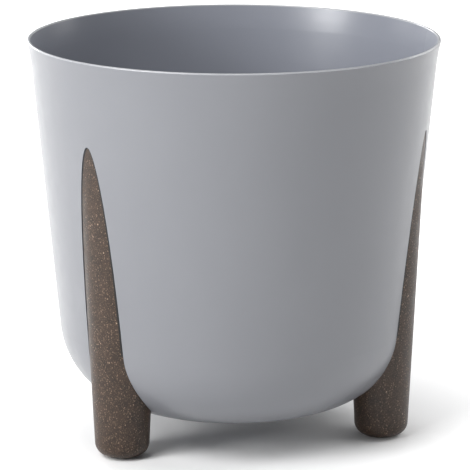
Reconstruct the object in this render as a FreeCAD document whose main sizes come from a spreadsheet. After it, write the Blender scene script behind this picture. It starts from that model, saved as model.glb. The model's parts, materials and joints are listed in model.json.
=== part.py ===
import FreeCAD, Part
import math
import os
from types import SimpleNamespace

import Sketcher

# A self-watering floor planter: a tapered round pot on three legs that are let flush into its wall,
# with a lift-out watering insert, a water gauge, a filling shaft and an overflow pipe inside.
# Frame: origin on the floor at the pot's axis, +Z up, rear leg towards +Y. Lengths are in millimetres.

os.makedirs("parts", exist_ok=True)
doc = FreeCAD.newDocument("self_watering_planter")

# ------------------------------------------------------------------------------------------------
# Driving dimensions
# ------------------------------------------------------------------------------------------------

DIMENSIONS = {
    # pot shell
    "rim_radius": 195.0,
    "rim_height": 380.0,
    "flare_height": 13.0,          # from the rim down to where the wall line and the flare line meet
    "flare_slope": 12.65,          # degrees from vertical
    "flare_rounding": 175.0,
    "wall_slope": 5.34,            # degrees from vertical
    "wall_thickness": 3.0,
    "rim_rounding": 1.3,
    "pot_underside": 30.0,
    "corner_rounding": 80.0,
    # legs
    "leg_axis_radius": 146.5,
    "leg_foot_radius": 25.6,
    "leg_slope": 2.62,             # degrees from vertical
    "leg_top": 300.0,
    "leg_arch_height": 242.3,      # the pointed outline is the upper half of a tall ellipse
    "leg_arch_half_width": 23.9,
    "leg_skirt_top": 102.6,
    "leg_skirt_slope": 6.85,       # degrees, below the arch the outline widens
    "leg_skirt_inset": 0.35,       # the skirt starts inside the arch, where the arch is narrower
    "leg_skirt_bottom": -10.0,     # the outline runs past the foot
    "leg_outline_start": 60.0,     # how far inside the leg's axis the outline's slab starts
    "leg_seam": 0.5,               # half of the gap between leg and pot
    "recess_depth": 1.5,
    "recess_clearance": 0.15,
    "foot_rounding": 12.5,
    # rubber foot pads
    "pad_radius": 10.4,
    "pad_proud": 1.2,
    "pad_thickness": 3.0,
    "pad_stem_radius": 4.0,
    "pad_stem_length": 11.0,
    "pad_clearance": 0.15,
    # leg screws
    "lower_screw_height": 125.0,
    "upper_screw_height": 165.0,
    "screw_shank_radius": 2.0,
    "screw_shank_length": 10.5,
    "screw_tip": 1.5,
    "screw_head_radius": 4.2,
    "screw_head_height": 2.6,
    "screw_hole_radius": 2.3,
    "screw_pilot_radius": 2.05,
    "bore_extra": 1.0,             # blind bores are this much deeper than what sits in them
    "washer_radius": 5.5,
    "washer_thickness": 1.2,
    "boss_radius": 7.0,
    "boss_proud": 2.0,
    # separator plate
    "plate_underside": 85.0,
    "plate_thickness": 2.5,
    "plate_radius": 159.3,
    "flange_top": 91.3,
    "flange_radius": 160.7,
    "flange_thickness": 2.0,
    "flange_root": 0.6,            # the flange is this much thinner at its foot
    "support_radius": 8.0,
    "support_bore_radius": 6.0,
    "support_gap": 0.3,
    "stud_length": 6.0,
    "inner_support_ring": 31.5,
    "outer_support_ring": 78.0,
    "rib_thickness": 2.0,
    "rib_height": 10.0,
    "rib_start": 24.0,
    "rib_end": 150.0,
    "air_hole_radius": 2.2,
    "outer_air_ring": 146.0,
    "inner_air_ring": 122.0,
    "collar_height": 4.0,
    "collar_wall": 2.5,
    "fit_gap": 0.2,
    # wicking cups
    "cup_ring": 80.0,
    "cup_bottom": 36.0,
    "cup_bottom_radius": 22.0,
    "cup_top_radius": 30.0,
    "cup_wall": 2.0,
    "cup_flange_radius": 35.0,
    "cup_flange_thickness": 2.5,
    "cup_bead": 1.2,
    "cup_bead_height": 3.0,
    "cup_hole_gap": 0.5,
    "cup_flange_gap": 0.05,
    "cup_floor_hole_radius": 1.8,
    "cup_floor_hole_ring": 12.1,
    "cup_slot_width": 2.6,
    "cup_slot_bottom": 43.0,
    "cup_slot_height": 34.0,
    # filling shaft and its lid
    "shaft_centre": 132.0,         # towards -Y
    "shaft_radius": 19.0,
    "shaft_wall": 2.0,
    "shaft_bottom": 74.0,
    "mouth_radius": 25.0,
    "mouth_top": 345.0,
    "mouth_height": 10.0,
    "funnel_bottom": 320.0,
    "funnel_rounding": 12.0,
    "mouth_rounding": 8.0,
    "lip_rounding": 0.8,
    "lid_gap": 0.3,
    "lid_thickness": 2.5,
    "lid_plug_radius": 22.6,
    "lid_plug_wall": 2.0,
    "lid_plug_depth": 3.8,
    "lid_tab_width": 12.0,
    "lid_tab_reach": 28.5,
    "lid_overlap": 6.0,            # how far the tab and the arm run into the lid's disc
    "hinge_centre": 160.6,         # towards -Y
    "hinge_height": 346.5,
    "pin_radius": 1.5,
    "pin_half_length": 11.4,
    "pin_hole_radius": 1.53,
    "knuckle_radius": 3.0,
    "knuckle_bore_radius": 1.57,
    "knuckle_half_width": 7.9,
    "ear_inside": 8.2,
    "ear_outside": 11.0,
    "ear_radius": 3.4,
    "ear_foot_raise": 1.0,         # the ears' feet stand this far above the bottom of the mouth
    "ear_foot_depth": 6.8,
    "ear_foot_drop": 0.4,
    # water gauge
    "gauge_centre": 92.0,          # towards -Y
    "gauge_radius": 8.0,
    "gauge_wall": 1.2,
    "gauge_top": 338.0,
    "gauge_cap_radius": 9.5,
    "gauge_cap_bottom": 326.0,
    "gauge_cap_top": 341.5,
    "cage_bottom": 40.0,
    "cage_radius": 18.3,
    "cage_bore_radius": 16.3,
    "cage_lip_radius": 12.5,
    "cage_lip_height": 2.0,
    "cage_window_width": 10.0,
    "cage_window_sill": 4.0,
    "cage_window_lintel": 6.0,
    "float_radius": 15.5,
    "float_bottom": 42.3,
    "float_height": 14.0,
    "rod_radius": 1.0,
    "rod_bore_radius": 1.05,
    "rod_guide_radius": 3.0,
    "rod_inset": 10.0,
    "rod_end_gap": 0.1,
    "flag_radius": 5.5,
    "flag_bottom": 285.0,
    "flag_height": 10.0,
    "clip_bottom": 296.0,
    "clip_height": 8.0,
    "clip_wall": 2.5,
    "clip_bridge_width": 8.0,
    # overflow pipe and drain cap
    "overflow_top": 78.0,
    "overflow_bottom": 21.5,
    "overflow_radius": 8.0,
    "overflow_bore_radius": 5.5,
    "overflow_flange_radius": 14.0,
    "overflow_flange_thickness": 3.0,
    "overflow_notch_width": 4.0,
    "overflow_notch_height": 5.0,
    "drain_boss_radius": 16.0,
    "drain_boss_top": 36.0,
    "drain_hole_radius": 8.3,
    "seal_thickness": 2.0,
    "seal_radius": 12.0,
    "seal_gap": 0.3,
    "seal_inset": 0.5,
    "drain_cap_radius": 13.0,
    "drain_cap_bottom": 17.5,
    "drain_cap_base": 2.5,
    "drain_cap_bore_radius": 8.4,
    "grip_width": 3.0,
    "grip_height": 3.0,
    "grip_inset": 2.0,
}

PAST = 5.0      # how far a cutting solid runs past the faces that it opens
EMBED = 0.5     # how far a joined solid reaches into the solid that it is joined to

sheet = doc.addObject("Spreadsheet::Sheet", "sizes")
for row, (alias, number) in enumerate(DIMENSIONS.items(), start=1):
    sheet.set(f"A{row}", alias)
    sheet.set(f"B{row}", str(number))
    sheet.setAlias(f"B{row}", alias)
doc.recompute()


class Size:
    """A length or an angle: its value, and the spreadsheet expression that gives it."""

    def __init__(self, value, text):
        self.value = value
        self.text = text

    def __add__(self, other):
        other = size(other)
        return Size(self.value + other.value, f"({self.text} + {other.text})")

    def __sub__(self, other):
        other = size(other)
        return Size(self.value - other.value, f"({self.text} - {other.text})")

    def __mul__(self, other):
        other = size(other)
        return Size(self.value * other.value, f"({self.text} * {other.text})")

    def __truediv__(self, other):
        other = size(other)
        return Size(self.value / other.value, f"({self.text} / {other.text})")

    def __neg__(self):
        return size(0) - self

    def __rsub__(self, other):
        return size(other) - self

    def __rtruediv__(self, other):
        return size(other) / self

    __radd__ = __add__
    __rmul__ = __mul__


def size(number):
    return number if isinstance(number, Size) else Size(float(number), repr(float(number)))


def tan(angle):
    angle = size(angle)
    return Size(math.tan(math.radians(angle.value)), f"tan({angle.text})")


def cos(angle):
    angle = size(angle)
    return Size(math.cos(math.radians(angle.value)), f"cos({angle.text})")


def sin(angle):
    angle = size(angle)
    return Size(math.sin(math.radians(angle.value)), f"sin({angle.text})")


d = SimpleNamespace(**{alias: Size(number, f"sizes.{alias}") for alias, number in DIMENSIONS.items()})

X_AXIS = FreeCAD.Vector(1, 0, 0)
Y_AXIS = FreeCAD.Vector(0, 1, 0)
Z_AXIS = FreeCAD.Vector(0, 0, 1)
ORIGIN, X_LINE, Y_LINE = -1, -1, -2      # a sketch's own origin point and axes
START, END = 1, 2


# ------------------------------------------------------------------------------------------------
# Building blocks
# ------------------------------------------------------------------------------------------------

def place(obj, x=0, y=0, z=0, axis=Z_AXIS, angle=0):
    """Turn an object about its own origin by a fixed angle and bind its position to the sheet."""
    obj.Placement = FreeCAD.Placement(FreeCAD.Vector(0, 0, 0), FreeCAD.Rotation(axis, angle))
    for letter, distance in (("x", x), ("y", y), ("z", z)):
        if size(distance).value:
            obj.setExpression(f".Placement.Base.{letter}", size(distance).text)
    return obj


def corner_rounding(before, corner, after, radius):
    """Where a rounded corner's arc starts and ends, its centre, and whether it turns left."""
    inward = (before - corner).normalize()
    outward = (after - corner).normalize()
    half_angle = inward.getAngle(outward) / 2
    reach = radius / math.tan(half_angle)
    bisector = (inward + outward).normalize()
    centre = corner + bisector * (radius / math.sin(half_angle))
    turns_left = (corner - before).cross(after - corner).z > 0
    return corner + inward * reach, corner + outward * reach, centre, turns_left


def pin_point(sketch, geometry, point, across, up):
    """Fix a sketch point at its distances from the sketch's origin, bound to the sheet."""
    for kind, line, distance in (("DistanceX", Y_LINE, size(across)), ("DistanceY", X_LINE, size(up))):
        if distance.value == 0:
            sketch.addConstraint(Sketcher.Constraint("PointOnObject", geometry, point, line))
            continue
        index = sketch.addConstraint(
            Sketcher.Constraint(kind, ORIGIN, START, geometry, point, distance.value))
        sketch.setExpression(f"Constraints[{index}]", distance.text)


def outline(sketch, corners):
    """Draw a closed outline. A corner is (across, up) or (across, up, rounding radius)."""
    points = [FreeCAD.Vector(size(corner[0]).value, size(corner[1]).value, 0) for corner in corners]
    count = len(corners)
    arcs = {}
    for i, corner in enumerate(corners):
        if len(corner) == 3:
            arcs[i] = corner_rounding(points[i - 1], points[i], points[(i + 1) % count],
                                      size(corner[2]).value)
    lines = []
    for i in range(count):
        following = (i + 1) % count
        begin = arcs[i][1] if i in arcs else points[i]
        finish = arcs[following][0] if following in arcs else points[following]
        lines.append(sketch.addGeometry(Part.LineSegment(begin, finish), False))
    for i, corner in enumerate(corners):
        incoming, outgoing = lines[i - 1], lines[i]
        if i not in arcs:
            sketch.addConstraint(Sketcher.Constraint("Coincident", incoming, END, outgoing, START))
            pin_point(sketch, outgoing, START, corner[0], corner[1])
            continue
        begin, finish, centre, turns_left = arcs[i]
        first, last = (begin, finish) if turns_left else (finish, begin)
        circle = Part.Circle(centre, Z_AXIS, size(corner[2]).value)
        angles = [math.atan2(point.y - centre.y, point.x - centre.x) for point in (first, last)]
        arc = sketch.addGeometry(Part.ArcOfCircle(circle, angles[0], angles[1]), False)
        vertex = sketch.addGeometry(Part.Point(points[i]), True)
        pin_point(sketch, vertex, START, corner[0], corner[1])
        sketch.addConstraint([
            Sketcher.Constraint("PointOnObject", vertex, START, incoming),
            Sketcher.Constraint("PointOnObject", vertex, START, outgoing),
            Sketcher.Constraint("Tangent", incoming, END, arc, START if turns_left else END),
            Sketcher.Constraint("Tangent", outgoing, START, arc, END if turns_left else START),
        ])
        radius = sketch.addConstraint(Sketcher.Constraint("Radius", arc, size(corner[2]).value))
        sketch.setExpression(f"Constraints[{radius}]", size(corner[2]).text)


def new_sketch(body, name, plane_role):
    """An empty sketch on one of the body's own origin planes."""
    sketch = body.newObject("Sketcher::SketchObject", name)
    plane = [feature for feature in body.Origin.OriginFeatures if feature.Role == plane_role][0]
    sketch.AttachmentSupport = [(plane, "")]
    sketch.MapMode = "FlatFace"
    return sketch


def turned(name, corners):
    """A body of revolution about Z, from an outline of (radius, height[, rounding]) corners."""
    body = doc.addObject("PartDesign::Body", name)
    sketch = new_sketch(body, name + "_outline", "XZ_Plane")
    outline(sketch, corners)
    revolution = body.newObject("PartDesign::Revolution", name + "_turn")
    revolution.Profile = sketch
    revolution.ReferenceAxis = (sketch, ["V_Axis"])
    revolution.Angle = 360
    sketch.Visibility = False
    return body


def sleeve(name, inner, outer, bottom, top):
    """A plain tube, ring or washer about Z."""
    return turned(name, [(inner, bottom), (outer, bottom), (outer, top), (inner, top)])


def slab(name, corners, near, far):
    """A flat outline in X and Z, extruded along +Y from near to far."""
    body = doc.addObject("PartDesign::Body", name)
    sketch = new_sketch(body, name + "_outline", "XZ_Plane")
    outline(sketch, corners)
    pad = body.newObject("PartDesign::Pad", name + "_pad")
    pad.Profile = sketch
    pad.Reversed = True
    pad.setExpression("Length", (size(far) - near).text)
    place(body, y=near)
    return body


def cylinder(name, radius, length, **position):
    solid = doc.addObject("Part::Cylinder", name)
    solid.setExpression("Radius", size(radius).text)
    solid.setExpression("Height", size(length).text)
    return place(solid, **position)


def box(name, low, high):
    """A box between two opposite corners, each (x, y, z)."""
    solid = doc.addObject("Part::Box", name)
    for prop, start, end in zip(("Length", "Width", "Height"), low, high):
        solid.setExpression(prop, (size(end) - start).text)
    return place(solid, *low)


def joined(name, solids):
    fused = doc.addObject("Part::MultiFuse", name)
    fused.Shapes = solids
    return fused


def overlap(name, solids):
    common = doc.addObject("Part::MultiCommon", name)
    common.Shapes = solids
    return common


def cut(name, base, tools):
    """The base without the tools."""
    result = doc.addObject("Part::Cut", name)
    result.Base = base
    result.Tool = tools[0] if len(tools) == 1 else joined(name + "_tools", tools)
    return result


def ring_point(radius, angle):
    """The point at a radius and an angle in degrees, counted from +X."""
    return radius * cos(angle), radius * sin(angle)


NODES = {}


def node(name, obj):
    """Name a finished sub-part."""
    obj.Label = name
    NODES[name] = obj
    return obj


# ------------------------------------------------------------------------------------------------
# Outlines that several pieces share
# ------------------------------------------------------------------------------------------------

LEG_ANGLES = {"rear": 0, "front_left": 120, "front_right": -120}    # turned about Z from +Y
plate_top = d.plate_underside + d.plate_thickness
pot_floor = d.pot_underside + d.wall_thickness


def wall_radius(height, depth):
    """Radius of the straight wall at a height, at a depth below its outer face."""
    knee_radius = d.rim_radius - d.flare_height * tan(d.flare_slope)
    knee_height = d.rim_height - d.flare_height
    return knee_radius - (knee_height - height) * tan(d.wall_slope) - depth / cos(d.wall_slope)


def wall_knee(depth):
    """Where the wall line and the flare line meet, at a depth below the outer face."""
    bend = (d.flare_slope - d.wall_slope) / 2
    lean = (d.flare_slope + d.wall_slope) / 2
    knee_radius = d.rim_radius - d.flare_height * tan(d.flare_slope)
    knee_height = d.rim_height - d.flare_height
    shift = depth / cos(bend)
    return knee_radius - shift * cos(lean), knee_height + shift * sin(lean)


def pot_corner(depth):
    """The sharp corner of wall and floor, before it is rounded."""
    height = d.pot_underside + depth
    return wall_radius(height, depth), height


def pot_core(name, depth):
    """Everything inside the pot's outer face, less a skin of the given depth."""
    return turned(name, [
        (0, d.pot_underside + depth),
        (*pot_corner(depth), d.corner_rounding - depth),
        (*wall_knee(depth), d.flare_rounding + depth),
        (d.rim_radius - depth / cos(d.flare_slope), d.rim_height),
        (0, d.rim_height),
    ])


# ------------------------------------------------------------------------------------------------
# Legs and the recesses that they are let into
# ------------------------------------------------------------------------------------------------

def leg_cone(name, grow):
    """The upside-down cone of a leg, standing on its pad, at the rear."""
    bottom = d.pad_proud
    foot = d.leg_foot_radius + grow
    top = foot + (d.rim_height - bottom) * tan(d.leg_slope)
    cone = turned(name, [(0, bottom), (foot, bottom, d.foot_rounding), (top, d.rim_height),
                         (0, d.rim_height)])
    return place(cone, y=d.leg_axis_radius)


def leg_arch(name, grow):
    """A wide slab with the leg's outline: an elliptical arch over a skirt that widens downwards."""
    arch = doc.addObject("Part::Ellipse", name + "_ellipse")
    arch.setExpression("MajorRadius", (d.leg_arch_height + grow).text)
    arch.setExpression("MinorRadius", (d.leg_arch_half_width + grow).text)
    upright = FreeCAD.Rotation(Z_AXIS, X_AXIS, Y_AXIS, "XYZ")
    arch.Placement = FreeCAD.Placement(FreeCAD.Vector(0, 0, 0), upright)
    arch.setExpression(".Placement.Base.y", (d.leg_axis_radius - d.leg_outline_start).text)
    arch.setExpression(".Placement.Base.z", (d.leg_top - d.leg_arch_height).text)
    upper = doc.addObject("Part::Extrusion", name + "_upper")
    upper.Base = arch
    upper.DirMode = "Custom"
    upper.Dir = Y_AXIS
    upper.Solid = True
    upper.setExpression("LengthFwd", d.leg_axis_radius.text)
    shoulder = d.leg_arch_half_width + grow - d.leg_skirt_inset
    hem = shoulder + (d.leg_skirt_top - d.leg_skirt_bottom) * tan(d.leg_skirt_slope)
    corners = [(-hem, d.leg_skirt_bottom), (hem, d.leg_skirt_bottom),
               (shoulder, d.leg_skirt_top), (-shoulder, d.leg_skirt_top)]
    start = d.leg_axis_radius - d.leg_outline_start
    skirt = slab(name + "_skirt", corners, start, start + d.leg_axis_radius)
    return joined(name, [upper, skirt])


def leg_blank(name, core, grow):
    """The solid of a leg at the rear: its cone within its outline, outside the pot's core."""
    whole = overlap(name + "_whole", [leg_cone(name + "_cone", grow), leg_arch(name + "_arch", grow)])
    return cut(name + "_blank", whole, [core])


def make_legs():
    """Three legs, each with two pilot holes for its screws and a socket for its foot pad."""
    core = pot_core("leg_core", d.recess_depth - d.recess_clearance)
    for place_name, angle in LEG_ANGLES.items():
        name = "leg_" + place_name
        tools = [
            cylinder(name + "_pad_seat", d.pad_radius + d.pad_clearance,
                     d.pad_thickness + d.pad_clearance + PAST, y=d.leg_axis_radius, z=-PAST),
            cylinder(name + "_pad_bore", d.pad_stem_radius + d.pad_clearance,
                     d.pad_thickness + d.pad_stem_length + d.bore_extra, y=d.leg_axis_radius),
        ]
        for height in (d.lower_screw_height, d.upper_screw_height):
            tools.append(cylinder(f"{name}_pilot_{height.value:.0f}", d.screw_pilot_radius,
                                  screw_face(height) + d.bore_extra, z=height, axis=X_AXIS, angle=-90))
        leg = cut(name, leg_blank(name, core, -d.leg_seam), tools)
        node(name, place(leg, angle=angle))


def screw_face(height):
    """Distance from the pot's axis to the tip of a leg screw."""
    seat = wall_radius(height, d.wall_thickness) - d.boss_proud
    return seat - d.washer_thickness + d.screw_shank_length


def make_foot_pads():
    """Rubber pads pressed into the feet."""
    for place_name, angle in LEG_ANGLES.items():
        name = "foot_pad_" + place_name
        stem_top = d.pad_thickness + d.pad_stem_length
        pad = turned(name + "_turned", [
            (0, 0), (d.pad_radius, 0, 0.6), (d.pad_radius, d.pad_thickness),
            (d.pad_stem_radius, d.pad_thickness), (d.pad_stem_radius, stem_top), (0, stem_top)])
        across, along = ring_point(d.leg_axis_radius, 90 + angle)
        node(name, place(pad, x=across, y=along))


# ------------------------------------------------------------------------------------------------
# Pot
# ------------------------------------------------------------------------------------------------

def make_pot():
    """The moulded shell, its screw bosses, its drain hole and the three leg recesses."""
    inner_depth = d.wall_thickness
    shell = turned("shell", [
        (0, d.pot_underside),
        (*pot_corner(0), d.corner_rounding),
        (*wall_knee(0), d.flare_rounding),
        (d.rim_radius, d.rim_height, d.rim_rounding),
        (d.rim_radius - inner_depth / cos(d.flare_slope), d.rim_height, d.rim_rounding),
        (*wall_knee(inner_depth), d.flare_rounding + inner_depth),
        (*pot_corner(inner_depth), d.corner_rounding - inner_depth),
        (d.drain_boss_radius, pot_floor),
        (d.drain_boss_radius, d.drain_boss_top),
        (0, d.drain_boss_top),
    ])
    bosses = []
    holes = [cylinder("drain_hole", d.drain_hole_radius, d.drain_boss_top)]
    for place_name, angle in LEG_ANGLES.items():
        for height in (d.lower_screw_height, d.upper_screw_height):
            seat = wall_radius(height, d.wall_thickness) - d.boss_proud
            tag = f"{place_name}_{height.value:.0f}"
            bosses.append(radial_cylinder(f"boss_{tag}", d.boss_radius, seat,
                                          d.boss_proud + d.recess_depth, height, angle))
            holes.append(radial_cylinder(f"screw_hole_{tag}", d.screw_hole_radius, seat - PAST,
                                         d.boss_proud + d.wall_thickness + 2 * PAST, height, angle))
    core = pot_core("recess_core", d.recess_depth)
    recesses = [place(leg_blank("recess_" + place_name, core, d.leg_seam), angle=angle)
                for place_name, angle in LEG_ANGLES.items()]
    node("outer_pot", cut("outer_pot", joined("shell_with_bosses", [shell] + bosses), holes + recesses))


def radial_cylinder(name, radius, start, length, height, angle):
    """A cylinder that points away from the pot's axis, over the leg at the given angle."""
    solid = doc.addObject("Part::Cylinder", name)
    solid.setExpression("Radius", size(radius).text)
    solid.setExpression("Height", size(length).text)
    return aim_outwards(solid, start, height, angle)


def aim_outwards(obj, start, height, angle):
    """Point an object's own Z away from the pot's axis, starting at a distance from it."""
    across, along = ring_point(start, 90 + angle)
    place(obj, x=across, y=along, z=height)
    level = FreeCAD.Rotation(X_AXIS, -90)
    obj.Placement.Rotation = FreeCAD.Rotation(Z_AXIS, angle).multiply(level)
    return obj


def make_leg_fasteners():
    """Two self-tapping screws with sealing washers for each leg, as groups of separate solids."""
    screws, washers = [], []
    for place_name, angle in LEG_ANGLES.items():
        for height in (d.lower_screw_height, d.upper_screw_height):
            tag = f"{place_name}_{height.value:.0f}"
            seat = wall_radius(height, d.wall_thickness) - d.boss_proud - d.washer_thickness
            screw = turned(f"screw_{tag}", [
                (0, -d.screw_head_height), (d.screw_head_radius, -d.screw_head_height, 1.2),
                (d.screw_head_radius, 0), (d.screw_shank_radius, 0),
                (d.screw_shank_radius, d.screw_shank_length - d.screw_tip), (0, d.screw_shank_length)])
            washer = sleeve(f"washer_{tag}", d.screw_hole_radius, d.washer_radius, 0, d.washer_thickness)
            screws.append(aim_outwards(screw, seat, height, angle))
            washers.append(aim_outwards(washer, seat, height, angle))
    for name, solids in (("leg_screws", screws), ("leg_screw_washers", washers)):
        group = doc.addObject("Part::Compound", name)
        group.Links = solids
        node(name, group)


# ------------------------------------------------------------------------------------------------
# Watering insert
# ------------------------------------------------------------------------------------------------

def make_separator_plate():
    """The false floor: a flanged disc with air holes, ribs, collars and studs for its supports."""
    disc = turned("plate_disc", [
        (0, d.plate_underside), (d.plate_radius, d.plate_underside), (d.flange_radius, d.flange_top),
        (d.flange_radius - d.flange_thickness, d.flange_top),
        (d.plate_radius - d.flange_thickness + d.flange_root, plate_top), (0, plate_top)])
    air_holes(disc, "outer_air", d.outer_air_ring, first_angle=18, count=15)
    air_holes(disc, "inner_air", d.inner_air_ring, first_angle=10, count=9)
    solids = [disc]
    for number in range(6):
        rib = box(f"rib_{number}", (d.rib_start, -d.rib_thickness / 2, d.plate_underside - d.rib_height),
                  (d.rib_end, d.rib_thickness / 2, d.plate_underside))
        solids.append(turn_about_axis(rib, 60 * number))
    collar_top = plate_top + d.collar_height
    fill_bore = d.shaft_radius + d.fit_gap
    gauge_bore = d.gauge_radius + d.fit_gap
    solids += [
        place(sleeve("fill_collar", fill_bore, fill_bore + d.collar_wall, d.plate_underside, collar_top),
              y=-d.shaft_centre),
        place(sleeve("gauge_collar", gauge_bore, gauge_bore + d.collar_wall, d.plate_underside,
                     collar_top), y=-d.gauge_centre),
    ]
    low = d.plate_underside - PAST
    depth = collar_top - d.plate_underside + 2 * PAST
    openings = [cylinder("fill_hole", fill_bore, depth, y=-d.shaft_centre, z=low),
                cylinder("rod_hole", d.rod_guide_radius, depth, y=-d.gauge_centre, z=low)]
    for number in range(3):
        x, y = ring_point(d.cup_ring, 90 + 120 * number)
        openings.append(cylinder(f"cup_hole_{number}", d.cup_top_radius + d.cup_hole_gap,
                                 depth + d.rib_height, x=x, y=y, z=low - d.rib_height))
    for name, x, y in support_places():
        stud = cylinder("stud_" + name, d.support_bore_radius - d.fit_gap, d.stud_length + EMBED,
                        x=x, y=y, z=d.plate_underside - d.stud_length)
        solids.append(stud)
    node("separator_plate", cut("separator_plate", joined("plate_solids", solids), openings))


def support_places():
    """A name and a position for each support under the separator plate."""
    for ring, angles in ((d.inner_support_ring, (30, 150, 270)),
                         (d.outer_support_ring, (30, 150, 248, 292))):
        for angle in angles:
            yield (f"{ring.value:.0f}_{angle}", *ring_point(ring, angle))


def make_plate_supports():
    """Tubes that push onto the plate's studs and stand on the pot's floor, as separate solids."""
    supports = []
    for name, x, y in support_places():
        support = sleeve("support_" + name, d.support_bore_radius, d.support_radius,
                         pot_floor + d.support_gap, d.plate_underside)
        supports.append(place(support, x=x, y=y))
    group = doc.addObject("Part::Compound", "plate_supports")
    group.Links = supports
    node("plate_supports", group)


def turn_about_axis(obj, angle):
    """Turn an object about the pot's axis, with its bound position turned along."""
    turned_group = doc.addObject("Part::Compound", obj.Name + "_turned")
    turned_group.Links = [obj]
    turned_group.Placement = FreeCAD.Placement(FreeCAD.Vector(0, 0, 0), FreeCAD.Rotation(Z_AXIS, angle))
    return turned_group


def air_holes(body, name, ring, first_angle, count):
    """A ring of round holes through the body, evenly spaced."""
    sketch = new_sketch(body, name + "_sketch", "XY_Plane")
    x, y = ring_point(ring, first_angle)
    circle = Part.Circle(FreeCAD.Vector(x.value, y.value, 0), Z_AXIS, d.air_hole_radius.value)
    hole = sketch.addGeometry(circle, False)
    radius = sketch.addConstraint(Sketcher.Constraint("Radius", hole, d.air_hole_radius.value))
    sketch.setExpression(f"Constraints[{radius}]", d.air_hole_radius.text)
    pin_point(sketch, hole, 3, x, y)
    pocket = body.newObject("PartDesign::Pocket", name + "_pocket")
    pocket.Profile = sketch
    pocket.Type = "ThroughAll"
    pocket.Reversed = True
    pattern = body.newObject("PartDesign::PolarPattern", name + "_pattern")
    pattern.Originals = [pocket]
    pattern.Axis = (sketch, ["N_Axis"])
    pattern.Angle = 360
    pattern.Occurrences = count
    body.Tip = pattern
    doc.recompute()


def make_float_cage():
    """The cage under the plate that guides the float, with four windows for the water."""
    lip_top = d.cage_bottom + d.cage_lip_height
    cage = turned("cage", [
        (d.cage_lip_radius, d.cage_bottom), (d.cage_radius, d.cage_bottom),
        (d.cage_radius, d.plate_underside), (d.cage_bore_radius, d.plate_underside),
        (d.cage_bore_radius, lip_top), (d.cage_lip_radius, lip_top)])
    low = lip_top + d.cage_window_sill
    high = d.plate_underside - d.cage_window_lintel
    half = d.cage_window_width / 2
    reach = d.cage_radius + PAST
    windows = [box("cage_window_x", (-reach, -half, low), (reach, half, high)),
               box("cage_window_y", (-half, -reach, low), (half, reach, high))]
    node("float_cage", place(cut("float_cage", cage, windows), y=-d.gauge_centre))


def make_wicking_cups():
    """Three slotted cups, each with a flange on the plate and a snap bead under it."""
    bead_radius = d.cup_top_radius + d.cup_bead
    bead_top = d.plate_underside - d.pad_clearance
    bead_foot = bead_top - d.cup_bead_height
    lip_radius = d.cup_top_radius - d.cup_wall
    for number, name in enumerate(("wicking_cup_rear", "wicking_cup_left", "wicking_cup_right")):
        flange_top = plate_top + d.cup_flange_thickness
        wall = turned(name + "_wall", [
            (0, d.cup_bottom), (d.cup_bottom_radius, d.cup_bottom, 2),
            (d.cup_top_radius, bead_foot), (bead_radius, (bead_foot + bead_top) / 2), (bead_radius, bead_top),
            (d.cup_top_radius, bead_top), (d.cup_top_radius, plate_top + d.cup_flange_gap),
            (d.cup_flange_radius, plate_top + d.cup_flange_gap), (d.cup_flange_radius, flange_top, 1),
            (lip_radius, flange_top), (lip_radius, bead_foot),
            (d.cup_bottom_radius - d.cup_wall, d.cup_bottom + d.cup_wall), (0, d.cup_bottom + d.cup_wall)])
        tools = []
        half = d.cup_slot_width / 2
        for turn in range(4):
            slot = box(f"{name}_slot_{turn}", (-d.cup_flange_radius, -half, d.cup_slot_bottom),
                       (d.cup_flange_radius, half, d.cup_slot_bottom + d.cup_slot_height))
            tools.append(turn_about_axis(slot, 45 * turn))
        for hole in range(6):
            x, y = ring_point(d.cup_floor_hole_ring, 60 * hole)
            tools.append(cylinder(f"{name}_hole_{hole}", d.cup_floor_hole_radius, d.cup_wall + 2 * PAST,
                                  x=x, y=y, z=d.cup_bottom - PAST))
        x, y = ring_point(d.cup_ring, 90 + 120 * number)
        node(name, place(cut(name, wall, tools), x=x, y=y))


# ------------------------------------------------------------------------------------------------
# Filling shaft, lid and clip
# ------------------------------------------------------------------------------------------------

def make_fill_tube():
    """The filling shaft with its funnel mouth and two hinge ears."""
    inner, mouth_inner = d.shaft_radius - d.shaft_wall, d.mouth_radius - d.shaft_wall
    mouth_bottom = d.mouth_top - d.mouth_height
    shaft = place(turned("shaft", [
        (inner, d.shaft_bottom), (d.shaft_radius, d.shaft_bottom),
        (d.shaft_radius, d.funnel_bottom, d.funnel_rounding),
        (d.mouth_radius, mouth_bottom, d.mouth_rounding),
        (d.mouth_radius, d.mouth_top, d.lip_rounding),
        (mouth_inner, d.mouth_top, d.lip_rounding), (mouth_inner, mouth_bottom, d.mouth_rounding),
        (inner, d.funnel_bottom, d.funnel_rounding)]),
        y=-d.shaft_centre)
    solids, holes = [shaft], []
    for side, start in (("left", -d.ear_outside), ("right", d.ear_inside)):
        thickness = d.ear_outside - d.ear_inside
        solids.append(crosswise("ear_round_" + side, d.ear_radius, start, thickness))
        solids.append(box("ear_foot_" + side,
                          (start, -d.hinge_centre - d.ear_radius, mouth_bottom + d.ear_foot_raise),
                          (start + thickness, -d.hinge_centre + d.ear_foot_depth,
                           d.mouth_top - d.ear_foot_drop)))
        holes.append(crosswise("ear_hole_" + side, d.pin_hole_radius, start - PAST, thickness + 2 * PAST))
    node("fill_tube", cut("fill_tube", joined("shaft_and_ears", solids), holes))


def crosswise(name, radius, start, length):
    """A cylinder along X on the lid's hinge axis."""
    solid = cylinder(name, radius, length, x=start, y=-d.hinge_centre, z=d.hinge_height)
    solid.Placement.Rotation = FreeCAD.Rotation(Y_AXIS, 90)
    return solid


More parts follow.
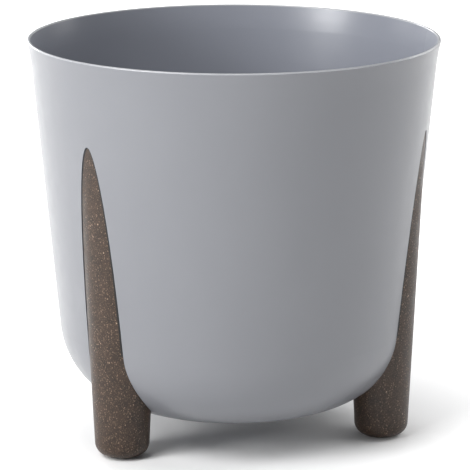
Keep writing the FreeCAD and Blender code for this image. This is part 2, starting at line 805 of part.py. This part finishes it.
def make_fill_lid():
    """The hinged lid with its plug ring, knuckle and thumb tab, and the pin that it turns on."""
    low = d.mouth_top + d.lid_gap
    high = low + d.lid_thickness
    plug_inner = d.lid_plug_radius - d.lid_plug_wall
    disc = place(turned("lid_disc", [
        (0, low), (plug_inner, low), (plug_inner, low - d.lid_plug_depth),
        (d.lid_plug_radius, low - d.lid_plug_depth), (d.lid_plug_radius, low), (d.mouth_radius, low),
        (d.mouth_radius, high, 1), (0, high)]), y=-d.shaft_centre)
    half_tab = d.lid_tab_width / 2
    width = d.knuckle_half_width
    solids = [
        disc,
        box("lid_tab", (-half_tab, -d.shaft_centre + d.mouth_radius - d.lid_overlap, low),
            (half_tab, d.lid_tab_reach - d.shaft_centre, high)),
        box("lid_arm", (-width, -d.hinge_centre, low),
            (width, -d.shaft_centre - d.mouth_radius + d.lid_overlap, high)),
        crosswise("lid_knuckle", d.knuckle_radius, -width, width * 2),
    ]
    bore = crosswise("lid_bore", d.knuckle_bore_radius, -width - PAST, (width + PAST) * 2)
    node("fill_lid", cut("fill_lid", joined("lid_solids", solids), [bore]))
    pin = crosswise("fill_lid_pin", d.pin_radius, -d.pin_half_length, d.pin_half_length * 2)
    node("fill_lid_pin", pin)


def make_tube_clip():
    """A figure-of-eight clip that holds the gauge tube beside the filling shaft."""
    fill_bore, gauge_bore = d.shaft_radius + d.fit_gap, d.gauge_radius + d.fit_gap
    half_bridge = d.clip_bridge_width / 2
    bridge = box("clip_bridge", (-half_bridge, -d.shaft_centre + fill_bore, 0),
                 (half_bridge, -d.gauge_centre - gauge_bore, d.clip_height))
    solids = [cylinder("clip_fill_ring", fill_bore + d.clip_wall, d.clip_height, y=-d.shaft_centre),
              cylinder("clip_gauge_ring", gauge_bore + d.clip_wall, d.clip_height, y=-d.gauge_centre),
              bridge]
    bores = [cylinder("clip_fill_bore", fill_bore, d.clip_height + 2 * PAST, y=-d.shaft_centre, z=-PAST),
             cylinder("clip_gauge_bore", gauge_bore, d.clip_height + 2 * PAST, y=-d.gauge_centre, z=-PAST)]
    node("tube_clip", place(cut("tube_clip", joined("clip_solids", solids), bores), z=d.clip_bottom))


# ------------------------------------------------------------------------------------------------
# Water gauge
# ------------------------------------------------------------------------------------------------

def make_gauge():
    """The clear gauge tube and its cap, and the float with its rod and flag."""
    tube = sleeve("gauge_tube", d.gauge_radius - d.gauge_wall, d.gauge_radius,
                  plate_top + d.pad_clearance, d.gauge_top)
    node("indicator_tube", place(tube, y=-d.gauge_centre))

    cap_bore = d.gauge_radius + d.pad_clearance
    cap = turned("gauge_cap", [
        (cap_bore, d.gauge_cap_bottom), (d.gauge_cap_radius, d.gauge_cap_bottom),
        (d.gauge_cap_radius, d.gauge_cap_top, 2), (0, d.gauge_cap_top),
        (0, d.gauge_top + d.fit_gap), (cap_bore, d.gauge_top + d.fit_gap)])
    node("indicator_cap", place(cap, y=-d.gauge_centre))

    float_top = d.float_bottom + d.float_height
    rod_bottom = float_top - d.rod_inset
    rod_top = d.flag_bottom + d.flag_height / 2
    body = turned("float_body", [
        (0, d.float_bottom), (d.float_radius, d.float_bottom, 2), (d.float_radius, float_top, 2),
        (d.rod_bore_radius, float_top), (d.rod_bore_radius, rod_bottom - d.rod_end_gap),
        (0, rod_bottom - d.rod_end_gap)])
    node("indicator_float", place(body, y=-d.gauge_centre))
    rod = turned("rod_body", [(0, rod_bottom), (d.rod_radius, rod_bottom), (d.rod_radius, rod_top),
                              (0, rod_top)])
    node("indicator_rod", place(rod, y=-d.gauge_centre))
    flag_top = d.flag_bottom + d.flag_height
    flag = turned("flag_body", [
        (d.rod_bore_radius, d.flag_bottom), (d.flag_radius, d.flag_bottom, 1), (d.flag_radius, flag_top, 1),
        (0, flag_top), (0, rod_top + d.rod_end_gap), (d.rod_bore_radius, rod_top + d.rod_end_gap)])
    node("indicator_flag", place(flag, y=-d.gauge_centre))


# ------------------------------------------------------------------------------------------------
# Overflow pipe and drain cap
# ------------------------------------------------------------------------------------------------

def make_overflow():
    """The standpipe that sets the highest water level, its seal, and the cap below the floor."""
    seal_top = d.drain_boss_top + d.seal_thickness
    flange_top = seal_top + d.overflow_flange_thickness
    pipe = turned("standpipe", [
        (d.overflow_bore_radius, d.overflow_bottom), (d.overflow_radius, d.overflow_bottom),
        (d.overflow_radius, seal_top), (d.overflow_flange_radius, seal_top),
        (d.overflow_flange_radius, flange_top), (d.overflow_radius, flange_top),
        (d.overflow_radius, d.overflow_top), (d.overflow_bore_radius, d.overflow_top)])
    half = d.overflow_notch_width / 2
    notch_bottom = d.overflow_top - d.overflow_notch_height
    reach = d.overflow_radius + PAST
    notch_top = d.overflow_top + PAST
    notches = [box("notch_x", (-reach, -half, notch_bottom), (reach, half, notch_top)),
               box("notch_y", (-half, -reach, notch_bottom), (half, reach, notch_top))]
    node("overflow_pipe", cut("overflow_pipe", pipe, notches))
    upper_seal_radius = d.overflow_flange_radius - d.seal_inset
    node("overflow_seal", sleeve("overflow_seal", d.drain_hole_radius, upper_seal_radius, d.drain_boss_top,
                                 seal_top))

    washer_top = d.pot_underside - d.seal_gap
    washer_bottom = washer_top - d.seal_thickness
    node("drain_cap_seal", sleeve("drain_cap_seal", d.drain_cap_bore_radius, d.seal_radius,
                                  washer_bottom, washer_top))
    cap_top = washer_bottom - d.seal_gap
    bore_bottom = d.drain_cap_bottom + d.drain_cap_base
    shell = turned("cap_shell", [
        (0, d.drain_cap_bottom), (d.drain_cap_radius, d.drain_cap_bottom, 1.5),
        (d.drain_cap_radius, cap_top), (d.drain_cap_bore_radius, cap_top),
        (d.drain_cap_bore_radius, bore_bottom), (0, bore_bottom)])
    grip_reach = d.drain_cap_radius - d.grip_inset
    grip = box("cap_grip", (-grip_reach, -d.grip_width / 2, d.drain_cap_bottom - d.grip_height),
               (grip_reach, d.grip_width / 2, d.drain_cap_bottom + EMBED))
    node("drain_cap", joined("drain_cap", [shell, grip]))


# ------------------------------------------------------------------------------------------------
# Build, check and export
# ------------------------------------------------------------------------------------------------

def check_and_export():
    doc.recompute()
    for obj in doc.Objects:
        if {"Invalid", "Error"} & set(obj.State):
            raise RuntimeError(f"{obj.Name} failed: {obj.State}")
    for name, obj in NODES.items():
        shape = obj.Shape
        if shape.isNull() or not shape.isValid() or not shape.Solids:
            raise RuntimeError(f"{name} has no valid solid")
        shape.exportStep(f"parts/{name}.step")
        print(f"{name:24s} solids {len(shape.Solids)}  volume {shape.Volume / 1000:9.2f} cm3")


make_pot()
make_legs()
make_foot_pads()
make_leg_fasteners()
make_separator_plate()
make_plate_supports()
make_float_cage()
make_wicking_cups()
make_fill_tube()
make_fill_lid()
make_tube_clip()
make_gauge()
make_overflow()
check_and_export()
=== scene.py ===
import json
import math

import bpy
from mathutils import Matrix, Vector


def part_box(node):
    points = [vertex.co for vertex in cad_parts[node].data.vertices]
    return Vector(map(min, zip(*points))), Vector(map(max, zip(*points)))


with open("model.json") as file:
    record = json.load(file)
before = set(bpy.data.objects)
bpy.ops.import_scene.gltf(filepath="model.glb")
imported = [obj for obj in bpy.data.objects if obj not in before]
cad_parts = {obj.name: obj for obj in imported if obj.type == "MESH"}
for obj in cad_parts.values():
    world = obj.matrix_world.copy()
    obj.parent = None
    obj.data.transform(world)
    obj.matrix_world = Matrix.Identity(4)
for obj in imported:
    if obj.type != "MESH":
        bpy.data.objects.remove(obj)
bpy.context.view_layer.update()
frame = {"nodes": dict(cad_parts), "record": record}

# The looks of a self-watering planter: materials for every CAD node, a white studio and a camera.
# Lengths are in metres in the part's own frame: origin on the floor at the pot's axis, +Z up.

RIM_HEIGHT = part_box("outer_pot")[1][2]

# ------------------------------------------------------------------------------------------------
# Camera: a long lens, a little above the rim, with one leg at the left and one at the far right
# ------------------------------------------------------------------------------------------------

CAMERA_AZIMUTH = math.radians(-14.3)     # 0 looks along +Y, and negative stands further left
CAMERA_DISTANCE = 2.548                  # horizontally, from the pot's axis
CAMERA_HEIGHT = 0.815
CAMERA_PITCH = math.radians(-13.84)
CAMERA_TOE_IN = math.radians(0.02)       # turned a touch to the right of the pot's axis
CAMERA_LENS = 209.5                      # millimetres
SENSOR_WIDTH = 36.0                      # millimetres


def around(azimuth, distance, height):
    """A point at an azimuth from the camera's own, counted towards the right of the picture."""
    turn = CAMERA_AZIMUTH + azimuth
    return Vector((distance * math.sin(turn), -distance * math.cos(turn), height))


def make_camera():
    camera = bpy.data.objects.new("camera", bpy.data.cameras.new("camera"))
    bpy.context.scene.collection.objects.link(camera)
    camera.data.lens = CAMERA_LENS
    camera.data.sensor_width = SENSOR_WIDTH
    camera.location = around(0.0, CAMERA_DISTANCE, CAMERA_HEIGHT)
    camera.rotation_euler = (math.radians(90) + CAMERA_PITCH, 0.0, CAMERA_AZIMUTH - CAMERA_TOE_IN)
    bpy.context.scene.camera = camera


# ------------------------------------------------------------------------------------------------
# Material recipes
# ------------------------------------------------------------------------------------------------

# The pot's straight outer wall, as designed
WALL_TAPER = math.tan(math.radians(5.34))
WALL_FOOT_RADIUS = 0.1578                # where the wall's line meets the floor
LEG_ZONE_LOW, LEG_ZONE_HIGH = 0.105, 0.305       # heights between which the legs lie in the straight wall

# The legs' pointed outline on the wall: the upper half of a tall ellipse, three times round the pot
LEG_TURN = math.radians(90)              # the rear leg's direction
LEG_PITCH = math.radians(120)
ARCH_FOOT, ARCH_HEIGHT, ARCH_HALF_WIDTH = 0.0577, 0.2423, 0.0239

NOISE_LOW, NOISE_HIGH = 0.3, 0.7         # most of a noise texture lies between these

SOCKETS = {"metallic": "Metallic", "specular": "Specular IOR Level", "transmission": "Transmission Weight",
           "ior": "IOR", "coat": "Coat Weight", "coat_roughness": "Coat Roughness"}


class Recipe:
    """A new material with its shader, and short ways to add nodes that work in object coordinates."""

    def __init__(self, name, colour, roughness, **sockets):
        self.material = bpy.data.materials.new(name)
        self.material.use_nodes = True
        self.nodes = self.material.node_tree.nodes
        self.links = self.material.node_tree.links
        self.shader = self.nodes["Principled BSDF"]
        source = self.nodes.new("ShaderNodeTexCoord")
        self.coordinates, self.surface_normal = source.outputs["Object"], source.outputs["Normal"]
        self.set("Base Color", (*colour, 1.0))
        self.set("Roughness", roughness)
        for socket, value in sockets.items():
            self.set(SOCKETS[socket], value)

    def set(self, socket, value):
        self.shader.inputs[socket].default_value = value

    def feed(self, socket, link):
        self.links.new(link, self.shader.inputs[socket])

    def stretched(self, x, y, z):
        """Object coordinates scaled along each axis."""
        mapping = self.nodes.new("ShaderNodeMapping")
        mapping.inputs["Scale"].default_value = (x, y, z)
        self.links.new(self.coordinates, mapping.inputs["Vector"])
        return mapping.outputs["Vector"]

    def noise(self, scale, detail):
        texture = self.nodes.new("ShaderNodeTexNoise")
        texture.inputs["Scale"].default_value = scale
        texture.inputs["Detail"].default_value = detail
        self.links.new(self.coordinates, texture.inputs["Vector"])
        return texture.outputs["Fac"]

    def cells(self, scale, vector):
        """Distance from each cell's middle, and a random colour for each cell."""
        texture = self.nodes.new("ShaderNodeTexVoronoi")
        texture.inputs["Scale"].default_value = scale
        self.links.new(vector, texture.inputs["Vector"])
        return texture.outputs["Distance"], texture.outputs["Color"]

    def ramp(self, value, *stops):
        """A colour ramp from (position, grey or colour) stops."""
        ramp = self.nodes.new("ShaderNodeValToRGB")
        elements = ramp.color_ramp.elements
        while len(elements) < len(stops):
            elements.new(0.5)
        for element, (position, colour) in zip(elements, stops):
            element.position = position
            element.color = (*colour, 1.0) if isinstance(colour, tuple) else (colour, colour, colour, 1.0)
        self.links.new(value, ramp.inputs["Fac"])
        return ramp.outputs["Color"]

    def between(self, noise, low, high):
        """Spread a noise over two greys or colours."""
        return self.ramp(noise, (NOISE_LOW, low), (NOISE_HIGH, high))

    def mix(self, factor, first, second):
        """Blend two colours, each a link or a tuple, by a link."""
        node = self.nodes.new("ShaderNodeMix")
        node.data_type = "RGBA"
        for socket, value in (("Factor", factor), ("A", first), ("B", second)):
            if isinstance(value, bpy.types.NodeSocket):
                self.links.new(value, node.inputs[socket])
            else:
                node.inputs[socket].default_value = (*value, 1.0)
        return node.outputs["Result"]

    def compute(self, operation, *values):
        """The result of one Math node, as a link; each value is a link or a number."""
        node = self.nodes.new("ShaderNodeMath")
        node.operation = operation
        for socket, value in zip(node.inputs, values):
            if isinstance(value, bpy.types.NodeSocket):
                self.links.new(value, socket)
            else:
                socket.default_value = value
        return node.outputs[0]

    def times(self, first, second):
        return self.compute("MULTIPLY", first, second)

    def axes(self):
        node = self.nodes.new("ShaderNodeSeparateXYZ")
        self.links.new(self.coordinates, node.inputs[0])
        return node.outputs

    def radius(self):
        """Distance from the pot's axis."""
        x, y, _ = self.axes()
        return self.compute("SQRT", self.compute("ADD", self.times(x, x), self.times(y, y)))

    def faces_axis(self):
        """1 where the surface looks towards the pot's axis, else 0."""
        node = self.nodes.new("ShaderNodeVectorMath")
        node.operation = "DOT_PRODUCT"
        self.links.new(self.stretched(1.0, 1.0, 0.0), node.inputs[0])
        self.links.new(self.surface_normal, node.inputs[1])
        return self.compute("LESS_THAN", node.outputs["Value"], 0.0)

    def above(self, height):
        """1 above a height, else 0."""
        return self.compute("GREATER_THAN", self.axes()[2], height)

    def below_wall(self, least, most):
        """1 between two depths below the pot's straight outer wall, in the heights of the legs, else 0."""
        z = self.axes()[2]
        wall = self.compute("MULTIPLY_ADD", z, WALL_TAPER, WALL_FOOT_RADIUS)
        depth = self.compute("SUBTRACT", wall, self.radius())
        deep = self.times(self.compute("GREATER_THAN", depth, least), self.compute("LESS_THAN", depth, most))
        high = self.times(self.compute("GREATER_THAN", z, LEG_ZONE_LOW),
                          self.compute("LESS_THAN", z, LEG_ZONE_HIGH))
        return self.times(deep, high)

    def along_leg_outline(self, band, least, most):
        """1 in a band inside a leg's outline, between two depths below the wall, else 0."""
        x, y, z = self.axes()
        turn = self.compute("WRAP", self.compute("ARCTAN2", y, x),
                            LEG_TURN + LEG_PITCH / 2, LEG_TURN - LEG_PITCH / 2)
        across = self.times(self.radius(), self.compute("SINE", self.compute("SUBTRACT", turn, LEG_TURN)))
        rise = self.compute("DIVIDE", self.compute("SUBTRACT", z, ARCH_FOOT), ARCH_HEIGHT)
        width = self.compute("SQRT", self.compute("SUBTRACT", 1.0, self.times(rise, rise)))
        edge = self.compute("MULTIPLY_ADD", width, ARCH_HALF_WIDTH, -band)
        beyond = self.compute("GREATER_THAN", self.compute("ABSOLUTE", across), edge)
        return self.times(beyond, self.below_wall(least, most))

    def bump(self, height, strength, distance):
        node = self.nodes.new("ShaderNodeBump")
        node.inputs["Strength"].default_value = strength
        node.inputs["Distance"].default_value = distance
        self.links.new(height, node.inputs["Height"])
        self.feed("Normal", node.outputs["Normal"])


# ------------------------------------------------------------------------------------------------
# Materials
# ------------------------------------------------------------------------------------------------

SHELL_DEEP, SHELL_PALE = (0.172, 0.177, 0.194), (0.180, 0.185, 0.202)
# the inner wall's colour, lighter than the shell's: painted light inside the pot
INNER_WALL_PAINTED_LIGHT = (0.240, 0.252, 0.290)
RIM_PAINTED_HIGHLIGHT, RIM_HIGHLIGHT_DEPTH = (0.36, 0.37, 0.39), 0.0012    # painted highlight along the rim's top edge
RECESS_PAINTED_SHADE = (0.10, 0.105, 0.115)                      # painted shade on the walls of the recess round each leg
RECESS_LEAST, RECESS_MOST = 0.00045, 0.0022              # the first is deeper than the mesh sags

COMPOSITE_DEEP, COMPOSITE_PALE = (0.020, 0.012, 0.007), (0.043, 0.025, 0.016)
FLECK_SQUASH = (1.0, 1.0, 0.75)          # flecks are a little longer along the leg
FLECK_CORE = 0.6                         # the share of a fleck's radius that has its full colour
FLECK_FADE = 0.1                         # how gradually a cell's random value brings its fleck in
# Each kind of fleck: cells per metre, random value below which a cell is bare, radius in cells, colour
FLECKS = (
    (900.0, 0.20, 0.44, (0.080, 0.050, 0.033)),
    (560.0, 0.45, 0.34, (0.170, 0.112, 0.078)),
    (380.0, 0.78, 0.26, (0.340, 0.240, 0.170)),
)
SEAM_PAINTED_SHADE, SEAM_BAND = (0.008, 0.008, 0.008), 0.0015    # painted shade: the dark line where a leg meets the pot
SEAM_LEAST, SEAM_MOST = -0.0010, 0.02                    # from a little proud of the wall to the leg's side

FLOOR_WIDTH = 40.0
FLOOR_GLOW = ((0.15, 0.0), (0.26, 0.34), (1.0, 0.5))     # distance from the pot's axis, and glow there

PLAIN_MATERIALS = {
    "pad_rubber": dict(colour=(0.015, 0.015, 0.015), roughness=0.7, grain=0.3),
    "seal_rubber": dict(colour=(0.02, 0.02, 0.02), roughness=0.6, grain=0.2),
    "screw_steel": dict(colour=(0.55, 0.55, 0.56), roughness=0.3, grain=0.1, metallic=1.0),
    "insert_plastic": dict(colour=(0.035, 0.036, 0.04), roughness=0.45, grain=0.2),
    "tube_plastic": dict(colour=(0.12, 0.122, 0.13), roughness=0.4, grain=0.15),
    "clear_plastic": dict(colour=(0.97, 0.98, 0.98), roughness=0.04, grain=0.0, transmission=1.0, ior=1.15),
    "float_foam": dict(colour=(0.75, 0.75, 0.72), roughness=0.7, grain=0.3),
    "flag_plastic": dict(colour=(0.6, 0.02, 0.015), roughness=0.3, grain=0.0),
}


def shell_material():
    """Pale blue-grey moulded plastic with a satin face: painted light on the inner wall, a painted highlight
    on the rim's top edge and painted shade in the recess round each leg.
    """
    r = Recipe("pot_shell", SHELL_DEEP, 0.31, coat=0.12, coat_roughness=0.25)
    body = r.between(r.noise(scale=9.0, detail=2.0), SHELL_DEEP, SHELL_PALE)
    # painted light: the inner wall is lighter than the outer face of the same plastic
    body = r.mix(r.faces_axis(), body, INNER_WALL_PAINTED_LIGHT)
    # painted highlight on the rim's top edge
    body = r.mix(r.above(RIM_HEIGHT - RIM_HIGHLIGHT_DEPTH), body, RIM_PAINTED_HIGHLIGHT)
    # painted shade in the recess round each leg
    r.feed("Base Color", r.mix(r.below_wall(RECESS_LEAST, RECESS_MOST), body, RECESS_PAINTED_SHADE))
    r.feed("Roughness", r.between(r.noise(scale=60.0, detail=3.0), low=0.28, high=0.34))
    r.bump(r.noise(scale=1400.0, detail=2.0), strength=0.05, distance=0.0002)
    return r.material


def composite_material():
    """Dark brown wood-plastic composite: grains and flecks of wood in a black-brown binder, with painted
    shade along each leg's edge where it meets the pot.
    """
    r = Recipe("leg_composite", COMPOSITE_DEEP, 0.45, specular=0.38)
    mottle = r.noise(scale=110.0, detail=4.0)
    body = r.between(mottle, COMPOSITE_DEEP, COMPOSITE_PALE)
    for scale, bare, fleck_radius, tint in FLECKS:
        distance, pick = r.cells(scale, r.stretched(*FLECK_SQUASH))
        fleck = r.ramp(distance, (fleck_radius * FLECK_CORE, 1.0), (fleck_radius, 0.0))
        chosen = r.ramp(pick, (bare, 0.0), (bare + FLECK_FADE, 1.0))
        body = r.mix(r.times(fleck, chosen), body, tint)
    # painted shade in the gap along each leg's edge where it meets the pot
    r.feed("Base Color", r.mix(r.along_leg_outline(SEAM_BAND, SEAM_LEAST, SEAM_MOST), body, SEAM_PAINTED_SHADE))
    r.feed("Roughness", r.between(mottle, low=0.36, high=0.48))
    r.bump(r.noise(scale=900.0, detail=3.0), strength=0.25, distance=0.0003)
    return r.material


def plain_material(name, colour, roughness, grain, **sockets):
    """A moulded, rubber or metal surface with a fine grain of the given strength."""
    r = Recipe(name, colour, roughness, **sockets)
    if grain:
        r.bump(r.noise(scale=1500.0, detail=3.0), strength=grain, distance=0.0002)
    return r.material


def floor_material():
    """A white studio floor that glows a little away from the object, so that it stays white there."""
    r = Recipe("floor", (0.90, 0.90, 0.90), 0.9, specular=0.0)
    distance = r.nodes.new("ShaderNodeVectorMath")
    distance.operation = "LENGTH"
    r.links.new(r.coordinates, distance.inputs[0])
    r.feed("Emission Color", r.ramp(distance.outputs["Value"], *FLOOR_GLOW))
    r.set("Emission Strength", 1.0)
    return r.material


def make_materials():
    """One material for each material slot of the part."""
    materials = {name: plain_material(name, **look) for name, look in PLAIN_MATERIALS.items()}
    materials["pot_shell"] = shell_material()
    materials["leg_composite"] = composite_material()
    return materials


def dress_cad_nodes():
    """Give every CAD node the material of its slot."""
    materials = make_materials()
    for part in frame["record"]["subparts"]:
        mesh = frame["nodes"][part["node"]].data
        mesh.materials.clear()
        mesh.materials.append(materials[part["material_slot"]])


# ------------------------------------------------------------------------------------------------
# Studio: a white floor, a faint sky, and two rings of soft square lamps
# ------------------------------------------------------------------------------------------------

SKY_STRENGTH = 0.15
LAMP_AIM = Vector((0.0, 0.0, 0.19))
LAMP_DISTANCE = 3.6
LAMP_RINGS = (                           # elevation, lamp width, then each lamp's name, azimuth and watts
    (16, 1.2, (("key", -60, 70.0), ("front_left", -45, 10.0), ("left_back", -120, 10.0),
               ("back_left", -150, 50.0), ("right_back", 120, 15.0), ("back_right", 150, 15.0))),
    (48, 1.7, (("high_left", -90, 5.0), ("high_key", -45, 90.0), ("high_right", 90, 35.0),
               ("high_back", 180, 35.0))),
)


def make_floor():
    bpy.ops.mesh.primitive_plane_add(size=FLOOR_WIDTH)
    floor = bpy.context.object
    floor.name = "floor"
    floor.data.materials.append(floor_material())


def make_sky():
    world = bpy.data.worlds.new("studio")
    bpy.context.scene.world = world
    world.use_nodes = True
    background = world.node_tree.nodes["Background"]
    background.inputs["Color"].default_value = (1.0, 1.0, 1.0, 1.0)
    background.inputs["Strength"].default_value = SKY_STRENGTH


def make_lamp(name, azimuth, elevation, width, power):
    """A soft square lamp on a sphere round the object, aimed at its middle; azimuth from the camera's."""
    lamp = bpy.data.objects.new(name, bpy.data.lights.new(name, "AREA"))
    bpy.context.scene.collection.objects.link(lamp)
    lamp.data.size = width
    lamp.data.energy = power
    level = LAMP_DISTANCE * math.cos(math.radians(elevation))
    rise = LAMP_DISTANCE * math.sin(math.radians(elevation))
    lamp.location = LAMP_AIM + around(math.radians(azimuth), level, rise)
    lamp.rotation_euler = (LAMP_AIM - lamp.location).to_track_quat("-Z", "Y").to_euler()


def make_studio():
    make_sky()
    make_floor()
    for elevation, width, lamps in LAMP_RINGS:
        for name, azimuth, power in lamps:
            make_lamp(name, azimuth, elevation, width, power)
    bpy.context.scene.view_settings.view_transform = "Standard"


dress_cad_nodes()
make_studio()
make_camera()
